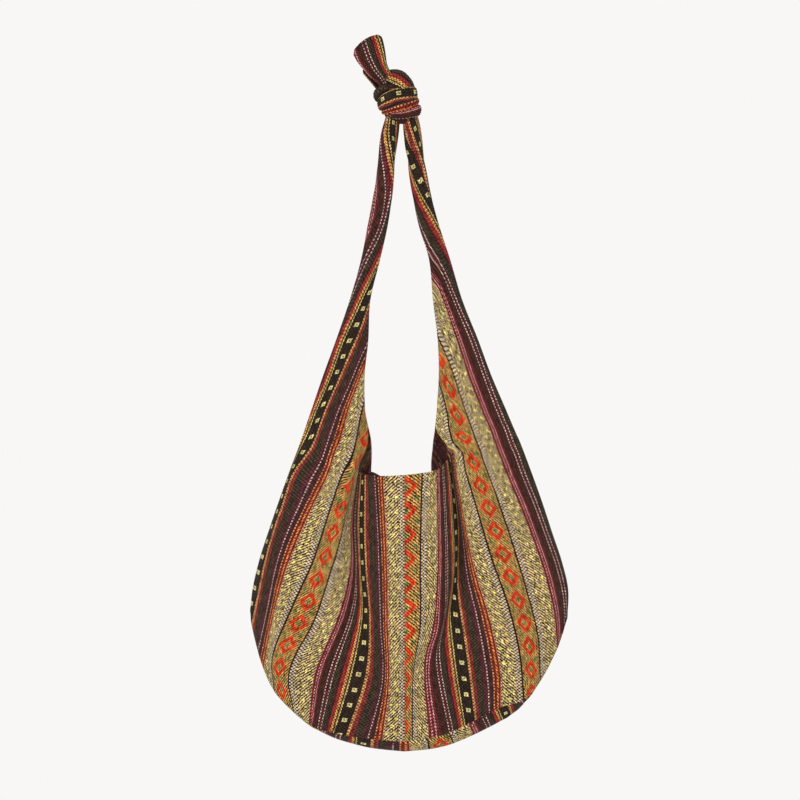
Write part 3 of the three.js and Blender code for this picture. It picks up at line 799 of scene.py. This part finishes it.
# Squares of the black band, each with a dark hole
def add_squares(nodes, base, place, v, on_top):
    reach = along_row(v, SQUARE_STEP, 0.0) * SQUARE_STEP
    square = nodes.math("MAXIMUM", abs(place - SQUARE_MIDDLE), reach)
    base = nodes.mix(square < SQUARE_REACH, base, nodes.mix(on_top, color("cdb45c"), color("f0e6ac")))
    return nodes.mix(square < SQUARE_HOLE, base, color("6b5824"))


# Stars of the pale stripes: two in a row, then one between them
def add_stars(nodes, base, place, v, on_top, in_stars):
    second = place > REPEAT / 2
    middle, pair_apart = (second * (b - a) + a for a, b in (STAR_MIDDLES, STAR_APART))
    single_side = abs(place - middle)
    stars = []
    for sideways, start in ((abs(single_side - pair_apart), 0.0), (single_side, 0.5)):
        reach = along_row(v, STAR_STEP, start) * STAR_STEP
        across, along = (nodes.math("POWER", distance, STAR_POWER) for distance in (sideways, reach))
        stars.append(across + along < STAR_REACH)
    star = nodes.math("MAXIMUM", *stars) * in_stars
    return nodes.mix(star, base, nodes.mix(on_top, color("d2bf58"), color("fbee8c")))


# Short flecks, slow changes of colour along the cloth, and dark specks, most on the pale stripes
def vary_yarns(nodes, base, mapped, flecks, in_stars):
    level = flecks * 2.5 - 0.42 + nodes.noise(mapped, scale=0.035, detail=2.0) * 0.36
    bright = nodes.add("ShaderNodeCombineXYZ")
    for socket in bright.inputs:
        nodes.put(socket, level)
    base = nodes.mix(1.0, base, Value(nodes, bright.outputs[0]), "MULTIPLY")
    speck = nodes.noise(mapped, scale=0.5, detail=1.0) > SPECK_LIMIT
    depth = in_stars * (STAR_SPECK_DEPTH - SPECK_DEPTH) + SPECK_DEPTH
    return nodes.mix(speck * depth, base, color("140b07"))


# Striped cloth woven of coarse yarn; the reverse is darker and its figures are dull
def striped_cloth(name, reverse=False):
    nodes = Nodes(name)
    mapped, u, v = nodes.cloth_place()
    shaky = nodes.noise(mapped, scale=0.5, detail=2.0)
    across = u + (shaky - 0.5) * SIDE_SHAKE
    place = (across / REPEAT).fract() * REPEAT
    in_field = between(place, *FIELD_SPAN)
    in_stars = nodes.math("MAXIMUM", *[between(place, *span) for span in STAR_SPANS])
    on_wide_stripe = nodes.math("MAXIMUM", in_field, in_stars)
    on_top, lines = yarn_on_top(nodes, place, u, v, shaky, on_wide_stripe)
    stretched = nodes.vector("MULTIPLY", mapped, 1, (1.0, 0.3, 1.0))
    flecks = nodes.noise(stretched, scale=0.42, detail=3.0)

    base = stripe_colors(nodes, place, on_top)
    base = add_diamonds(nodes, base, place, v, on_top, in_field)
    base = add_squares(nodes, base, place, v, on_top)
    base = add_stars(nodes, base, place, v, on_top, in_stars)
    base = vary_yarns(nodes, base, mapped, flecks, in_stars)
    if reverse:
        base = nodes.mix(0.7, base, nodes.mix(lines, color("2a1018"), color("5c3038")))

    thread = nodes.math("SINE", across * (2 * math.pi / YARN))
    grain = on_top * 0.8 + thread * 0.25 + flecks * 0.6
    nodes.surface(base, roughness=0.96 - flecks * 0.12, height=grain, strength=0.6, distance=0.0005)
    nodes.shader.inputs["Specular IOR Level"].default_value = 0.2
    nodes.shader.inputs["Sheen Weight"].default_value = 0.03
    nodes.shader.inputs["Sheen Roughness"].default_value = 0.6
    return nodes.material


# Skin through rings of points; a loop joins its last ring to the first, other skins get end caps
def ring_object(name, rings, cloth, materials, loop=False):
    count, size = rings.shape[:2]
    faces = []
    last = count if loop else count - 1
    for r in range(last):
        n = (r + 1) % count
        for k in range(size):
            k2 = (k + 1) % size
            faces.append((r * size + k, r * size + k2, n * size + k2, n * size + k))
    points = rings.reshape(-1, 3)
    places = cloth.reshape(-1, 2)
    if not loop:
        ends = np.stack([rings[0].mean(axis=0), rings[-1].mean(axis=0)])
        points = np.concatenate([points, ends])
        places = np.concatenate([places, [cloth[0].mean(axis=0), cloth[-1].mean(axis=0)]])
        for r, middle in ((0, len(points) - 2), (count - 1, len(points) - 1)):
            for k in range(size):
                pair = (r * size + k, r * size + (k + 1) % size)
                faces.append((pair[1], pair[0], middle) if r == 0 else (pair[0], pair[1], middle))
    volume = sum(np.dot(points[f[0]], np.cross(points[f[i]], points[f[i + 1]]))
                 for f in faces for i in range(1, len(f) - 1))
    if volume < 0:
        faces = [f[::-1] for f in faces]
    return make_object(name, points, faces, places, materials)


# Gusset: the strip under the bag between the bottom edges of the front and the back
GUSSET_ENDS = (256, 563)
GUSSET_WIDTH = 57.0
GUSSET_SAG = 15.5
SAG_POWER = 0.75
GUSSET_STEPS = 180
CROSS_STEPS = 20
SAG_SHARES = [
    (256, 0), (300, 0.05), (320, 0.2), (340, 0.5), (372, 0.8), (404, 0.9), (461, 1), (490, 1),
    (503, 0.95), (514, 0.66), (523, 0.3), (535, 0.12), (563, 0),
]
GUSSET_CLOTH = [
    (256, -12), (312, 46), (364, 106), (408, 143), (426, 163), (449, 195), (468, 219), (503, 270),
    (563, 350),
]


def edge_points(left_rows, right_rows):
    left = left_rows[-1][:, :3]
    right = right_rows[-1][::-1, :3]
    return np.concatenate([left, right[1:]])


def along_edge(edge, x):
    order = np.maximum.accumulate(edge[:, 0])
    return np.stack([x, np.interp(x, order, edge[:, 1]), np.interp(x, order, edge[:, 2])], axis=1)


def value_at(x, points):
    return np.interp(x, [to_x(p[0]) for p in points], [p[1] for p in points])


def gusset_grid(front, back):
    low, high = (to_x(end) for end in GUSSET_ENDS)
    turn = np.pi * np.arange(GUSSET_STEPS + 1) / GUSSET_STEPS
    x = (low + high) / 2 - (high - low) / 2 * np.cos(turn)
    front_line = along_edge(front, x)
    back_line = along_edge(back, x)
    outward = np.zeros_like(front_line)
    for edge in (front, back):
        step = unit(along_edge(edge, x + 2 * UNIT) - along_edge(edge, x - 2 * UNIT))
        outward += np.stack([step[:, 2], np.zeros(len(x)), -step[:, 0]], axis=1)
    outward = unit(outward)
    sag = GUSSET_SAG * value_at(x, SAG_SHARES)
    u = value_at(x, GUSSET_CLOTH)
    rows = []
    for k in range(CROSS_STEPS + 1):
        share = k / CROSS_STEPS
        drop = sag * math.sin(math.pi * share)**SAG_POWER
        place = front_line * (1 - share) + back_line * share + outward * drop[:, None]
        v = np.full(len(x), share * GUSSET_WIDTH)
        rows.append(np.concatenate([place, u[:, None], v[:, None]], axis=1))
    return rows


# Topstitches along the mouth, one row for each panel; each stitch is an arched thread, in millimetres
STITCH_PITCH = 4.6
STITCH_LENGTH = 3.0
STITCH_RADIUS = 0.42
STITCH_FOOT = 0.45
STITCH_ARCH = 0.4
STITCH_MARGIN = 1.5
END_MARGIN = 1.0
STITCH_SIDES = 8
STITCH_STEPS = 6


def hem_line(rows, first):
    line = []
    for j in range(first, len(rows[0])):
        spots = np.array([row[j] for row in rows])
        line.append([np.interp(HEM_WIDTH, np.abs(spots[:, 4]), spots[:, k]) for k in range(3)])
    return np.array(line)


def stitch_row(name, line, side, material):
    run = run_lengths(line)
    points, faces, cloth = [], [], []
    size = STITCH_SIDES
    for start in np.arange(STITCH_MARGIN, run[-1] - STITCH_LENGTH - END_MARGIN, STITCH_PITCH):
        first = len(points)
        for share in np.linspace(0, 1, STITCH_STEPS + 1):
            place = start + STITCH_LENGTH * share
            centre = np.array([np.interp(place, run, line[:, k]) for k in range(3)])
            rise = math.sin(math.pi * share)
            centre[1] += side * (STITCH_FOOT + STITCH_ARCH * rise**0.6)
            radius = STITCH_RADIUS * (0.25 + 0.75 * rise**0.5)
            for angle in around(size):
                points.append(centre + radius * np.array([0.0, math.cos(angle), math.sin(angle)]))
                cloth.append((place, radius * angle))
        for r in range(STITCH_STEPS):
            for k in range(size):
                a, b = first + size * r + k, first + size * r + (k + 1) % size
                faces.append((a, b, b + size, a + size))
        faces.append(tuple(first + k for k in reversed(range(size))))
        faces.append(tuple(first + size * STITCH_STEPS + k for k in range(size)))
    return make_object(name, np.array(points), faces, np.array(cloth), [material])


def stitch_thread():
    nodes = Nodes("stitch_thread")
    _, along, across = nodes.cloth_place()
    twist = nodes.math("SINE", along * 8.0 + across * 5.0) * 0.5 + 0.5
    base = nodes.mix(twist, color("4a3020"), color("a5825a"))
    nodes.surface(base, roughness=0.7, height=twist, strength=0.5, distance=0.0002)
    return nodes.material


# Knot: bundled core with height, left, right and half depth of each row, and folds wound round it
KNOT_CORE = [
    (-7, -11, 19, 7), (0, -14, 20, 10), (5, -17, 21, 12), (10, -20, 21, 14), (16, -22, 21, 16),
    (22, -23, 20, 17), (29, -23, 18, 17), (36, -23, 16, 16), (43, -21, 12, 14), (50, -17, 8, 11),
    (56, -13, 2, 7), (59, -10, -4, 3),
]
CORE_RINGS = 56
CORE_SIDES = 72
CORE_CLOTH = 76
CORE_SWAY = 10


def knot_core(material):
    rows = spline(KNOT_CORE, np.linspace(0, len(KNOT_CORE) - 1, CORE_RINGS))
    turn = around(CORE_SIDES)
    rings = np.zeros((len(rows), CORE_SIDES, 3))
    cloth = np.zeros((len(rows), CORE_SIDES, 2))
    for r, (z, left, right, depth) in enumerate(rows):
        ripple = 1 + 0.03 * np.cos(9 * turn + 0.11 * z) + 0.02 * np.cos(17 * turn - 0.2 * z)
        rings[r, :, 0] = (left + right) / 2 + (right - left) / 2 * np.cos(turn) * ripple
        rings[r, :, 1] = depth * np.sin(turn) * ripple
        rings[r, :, 2] = z
        cloth[r, :, 0] = CORE_CLOTH + CORE_SWAY * np.sin(turn + 0.02 * z)
        cloth[r, :, 1] = z
    return ring_object("knot_core", rings, cloth, [material])


# Folds of the knot: cloth at both edges, height of creases, whether it is a closed loop, and x, depth,
# height, half width and half thickness along it
KNOT_FOLDS = {
    "knot_shoulder": ((102.4, 76), 0.14, False, [
        (-20, 3, 42, 8, 4), (-15, -4, 51, 10.5, 5), (-4, -8, 49, 13.5, 6), (6, -9.5, 41, 13.5, 6),
        (11, -8, 33, 12, 6), (12, -4, 24, 9, 4),
    ]),
    "knot_left_fold": ((88, 79.6), 0.14, False, [
        (-14, 14, 22, 5, 4), (-25, 7, 25, 6, 4.5), (-28.3, -1, 29, 6.4, 4.8), (-24, -9, 33, 6.2, 4.6),
        (-15, -13, 38, 5, 4),
    ]),
    "knot_band": ((124, 93), 0.13, True, [
        (18.4, 0, 29.5, 9.4, 3.6), (14.6, -11.5, 29, 9.2, 4), (7, -16.6, 28, 9.2, 4.2),
        (-5, -17.4, 26, 9.4, 4.2), (-16, -14.5, 21.5, 9.2, 4), (-23.5, -6, 17.5, 8, 3.6),
        (-24.5, 2, 17, 7.6, 3.4), (-18, 12, 20, 8, 3.6), (-6, 17, 24, 8.6, 3.8), (6, 17, 27, 8.8, 3.8),
        (14.6, 11.5, 29, 9, 3.6),
    ]),
    "knot_lens": ((144, 133), 0.14, False, [
        (-21, -3, 7, 3, 3), (-14, -11, 8.2, 4, 3.4), (-4, -15.6, 11, 5, 3.8), (7, -17, 14.4, 5.6, 4),
        (16, -13.5, 18, 5, 3.6), (21.5, -5, 21, 4, 3),
    ]),
    "knot_low_left": ((82, 66), 0.12, False, [
        (-9, 11, 12, 5, 4), (-17, 4, 11.5, 5.5, 4), (-18.5, -3, 9.5, 5.6, 4), (-13, -9, 5.5, 5, 3.6),
        (-6, -10, 1.5, 4, 3),
    ]),
    "knot_low_band": ((80, 56), 0.12, False, [
        (-16, 2, 4, 4, 3.4), (-11, -8, 3.2, 5, 3.6), (-2, -13.4, 2.6, 5.4, 4), (8, -14.6, 3.8, 5.8, 4.2),
        (17, -11, 6.4, 6.8, 4.6), (21.8, -3, 9, 7.4, 4.8), (19, 7, 11, 7, 4.6), (9, 13, 13, 6, 4),
    ]),
}


KNOT_MIDDLE = (-2.0, 0.0, 26.0)
KNOT_FLATNESS = 0.35
FOLD_STEPS = 12
FOLD_SIDES = 48
FOLD_ROUNDNESS = 0.8
FOLD_CREASES = 5.5
TANGENT_REACH = 0.05


# A fold is a flat, creased tube whose wide side faces away from the middle of the knot
def knot_fold(name, material, cloth_edges, pleat, loop, points):
    points = np.array(points, dtype=float)
    first, last = 0.0, len(points) - 1.0
    if loop:
        first, last = 2.0, len(points) + 2.0
        points = np.concatenate([points[-2:], points, points[:3]])
    places = np.linspace(first, last, int(last - first) * FOLD_STEPS + 1)
    fine = spline(points, places)
    later = spline(points, np.minimum(places + TANGENT_REACH, len(points) - 1.0))
    earlier = spline(points, np.maximum(places - TANGENT_REACH, 0.0))
    ahead = unit((later - earlier)[:, :3])
    if loop:
        fine, ahead = fine[:-1], ahead[:-1]
    outward = fine[:, :3] - KNOT_MIDDLE
    outward[:, 2] *= KNOT_FLATNESS
    outward = unit(outward - ahead * (outward * ahead).sum(axis=1)[:, None])
    upward = np.cross(ahead, outward)
    upward *= np.where(upward[:, 2] + 0.3 * upward[:, 0] < 0, -1.0, 1.0)[:, None]
    turn = around(FOLD_SIDES)
    run = run_lengths(fine[:, :3])
    rings = np.zeros((len(fine), FOLD_SIDES, 3))
    cloth = np.zeros((len(fine), FOLD_SIDES, 2))
    rise = np.sin(turn)
    bulge = np.sign(np.cos(turn)) * np.abs(np.cos(turn)) ** FOLD_ROUNDNESS
    share = 0.5 + np.arcsin(rise) / np.pi
    for r, (_, _, _, half_width, half_depth) in enumerate(fine):
        crease_wave = np.cos(FOLD_CREASES * np.pi * rise + 0.05 * run[r])
        thickness = half_depth * bulge * (1 + pleat * crease_wave * (bulge > 0))
        rings[r] = fine[r, :3] + np.outer(half_width * rise, upward[r])
        rings[r] += np.outer(thickness, outward[r])
        cloth[r, :, 0] = cloth_edges[0] + (cloth_edges[1] - cloth_edges[0]) * share
        cloth[r, :, 1] = run[r]
    return ring_object(name, rings, cloth, [material], loop=loop)


# Tails: rows with x, y, half width and depth from the knot to the free end, and cloth places at both ends
TAILS = {
    "tail_front": {
        "rows": [
            (388.5, 88, 7, -9), (384.3, 79, 8.6, -9), (377.2, 69, 11.4, -7), (371.6, 57, 15, -4),
            (367.6, 46, 16.6, -3), (366.2, 42.5, 16.6, -3),
        ],
        "root_cloth": (64, 100), "end_cloth": (57, 103), "pleats": 5, "pleat": 1.1, "shift": 0.2,
        "thickness": 7.5, "end_rise": 3.6, "end_curve": 4.33, "end_middle": 0.35,
    },
    "tail_rear": {
        "rows": [(389, 92, 9, 7), (382, 82, 9, 8), (375.6, 73, 9.8, 8), (370, 65, 10.6, 8)],
        "root_cloth": (113, 92), "end_cloth": (113, 92), "pleats": 3, "pleat": 1.2, "shift": -0.2,
        "thickness": 6.0, "end_rise": 1.0, "end_curve": 1.0, "end_middle": 0.0,
    },
}
TAIL_RINGS = 60
TAIL_SIDES = 64
CORNER_DROP = 2.2


def knot_tail(name, material, rows, root_cloth, end_cloth, pleats, pleat, shift, thickness,
              end_rise, end_curve, end_middle):
    fine = spline(rows, np.linspace(0, len(rows) - 1, TAIL_RINGS))
    centre = np.stack([to_x(fine[:, 0]), np.zeros(len(fine)), to_z(fine[:, 1])], axis=1)
    ahead = unit(np.gradient(centre, axis=0))
    half = 1 - 2 * (np.arange(TAIL_SIDES) + 0.5) / TAIL_SIDES
    s = np.concatenate([half, -half])
    side = np.repeat([1.0, -1.0], TAIL_SIDES)
    drop = CORNER_DROP * smooth(0.8, 1.0, np.abs(s))
    end = UNIT * (end_rise - end_curve * (s - end_middle)**2 - drop)
    body = np.sqrt(1 - s**4) * (thickness / 2 - pleat / 2)
    wave = np.cos(math.pi * pleats * (s + shift)) + 0.4 * np.cos(math.pi * 2.3 * pleats * s + 1.0)
    rings = np.zeros((len(fine), len(s), 3))
    cloth = np.zeros((len(fine), len(s), 2))
    run = run_lengths(centre)
    for r, (_, _, half_width, depth) in enumerate(fine):
        share = r / (len(fine) - 1)
        across = np.array([ahead[r, 2], 0.0, -ahead[r, 0]])
        rings[r] = centre[r] + np.outer(s * half_width * UNIT, across)
        rings[r] += np.outer(end * smooth(0.45, 1.0, share), ahead[r])
        rings[r, :, 1] = depth + side * body + pleat * wave
        left, right = np.array(root_cloth) + (np.array(end_cloth) - root_cloth) * share
        cloth[r, :, 0] = (left + right) / 2 + s * (right - left) / 2
        cloth[r, :, 1] = run[r]
    return ring_object(name, rings, cloth, [material])


# Panels: arm, its cloth places, columns, corner column, side (-1 front, 1 back) and steps of a column
PANELS = {
    "front_left": (LEFT_ARM, LEFT_FRONT_CLOTH, FRONT_LEFT, 5, -1, 9),
    "front_right": (RIGHT_ARM, RIGHT_FRONT_CLOTH, FRONT_RIGHT, 6, -1, 9),
    "back_left": (LEFT_BACK_ARM, LEFT_BACK_CLOTH, BACK_LEFT, 4, 1, 14),
    "back_right": (RIGHT_BACK_ARM, RIGHT_BACK_CLOTH, BACK_RIGHT, 4, 1, 14),
}


# One panel with its arm and stitches
def make_panel(name, materials, thread):
    side = PANELS[name][4]
    rows, mouth, corner_step = panel_grid(*PANELS[name])
    points, cloth, faces = grid_arrays(rows)
    if "right" in name:
        cloth[:, 1] *= -1
    if point_normals(points, faces)[:, 1].mean() * side < 0:
        faces = faces[:, ::-1]
    panel = cloth_solid(f"{name}_cloth", points, faces, cloth, materials)
    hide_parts(f"{name}_panel", f"{name}_arm")
    hem_rows = rows[mouth:mouth + 20]
    stitches = stitch_row(f"{name}_stitches", hem_line(hem_rows, corner_step + 2), side, thread)
    declare_sheet(cloth, faces)
    return rows


def make_gusset(grids, materials):
    front_edge = edge_points(grids["front_left"], grids["front_right"])
    back_edge = edge_points(grids["back_left"], grids["back_right"])
    points, cloth, faces = grid_arrays(gusset_grid(front_edge, back_edge))
    if point_normals(points, faces)[:, 2].mean() > 0:
        faces = faces[:, ::-1]
    gusset = cloth_solid("gusset_cloth", points, faces, cloth, materials)
    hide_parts("base_gusset")
    declare_sheet(cloth, faces)


def make_knot(face):
    knot = [knot_core(face)]
    knot += [knot_fold(name, face, *settings) for name, settings in KNOT_FOLDS.items()]
    for piece in knot:
        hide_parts("strap_knot")
    for name, settings in TAILS.items():
        tail = knot_tail(name, face, **settings)
        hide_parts(f"knot_{name}")


def main():
    make_camera()
    make_floor()
    make_background()
    make_lamps()
    face = striped_cloth("striped_cloth")
    materials = [face, striped_cloth("striped_reverse", reverse=True)]
    thread = stitch_thread()
    grids = {name: make_panel(name, materials, thread) for name in PANELS}
    make_gusset(grids, materials)
    make_knot(face)


main()
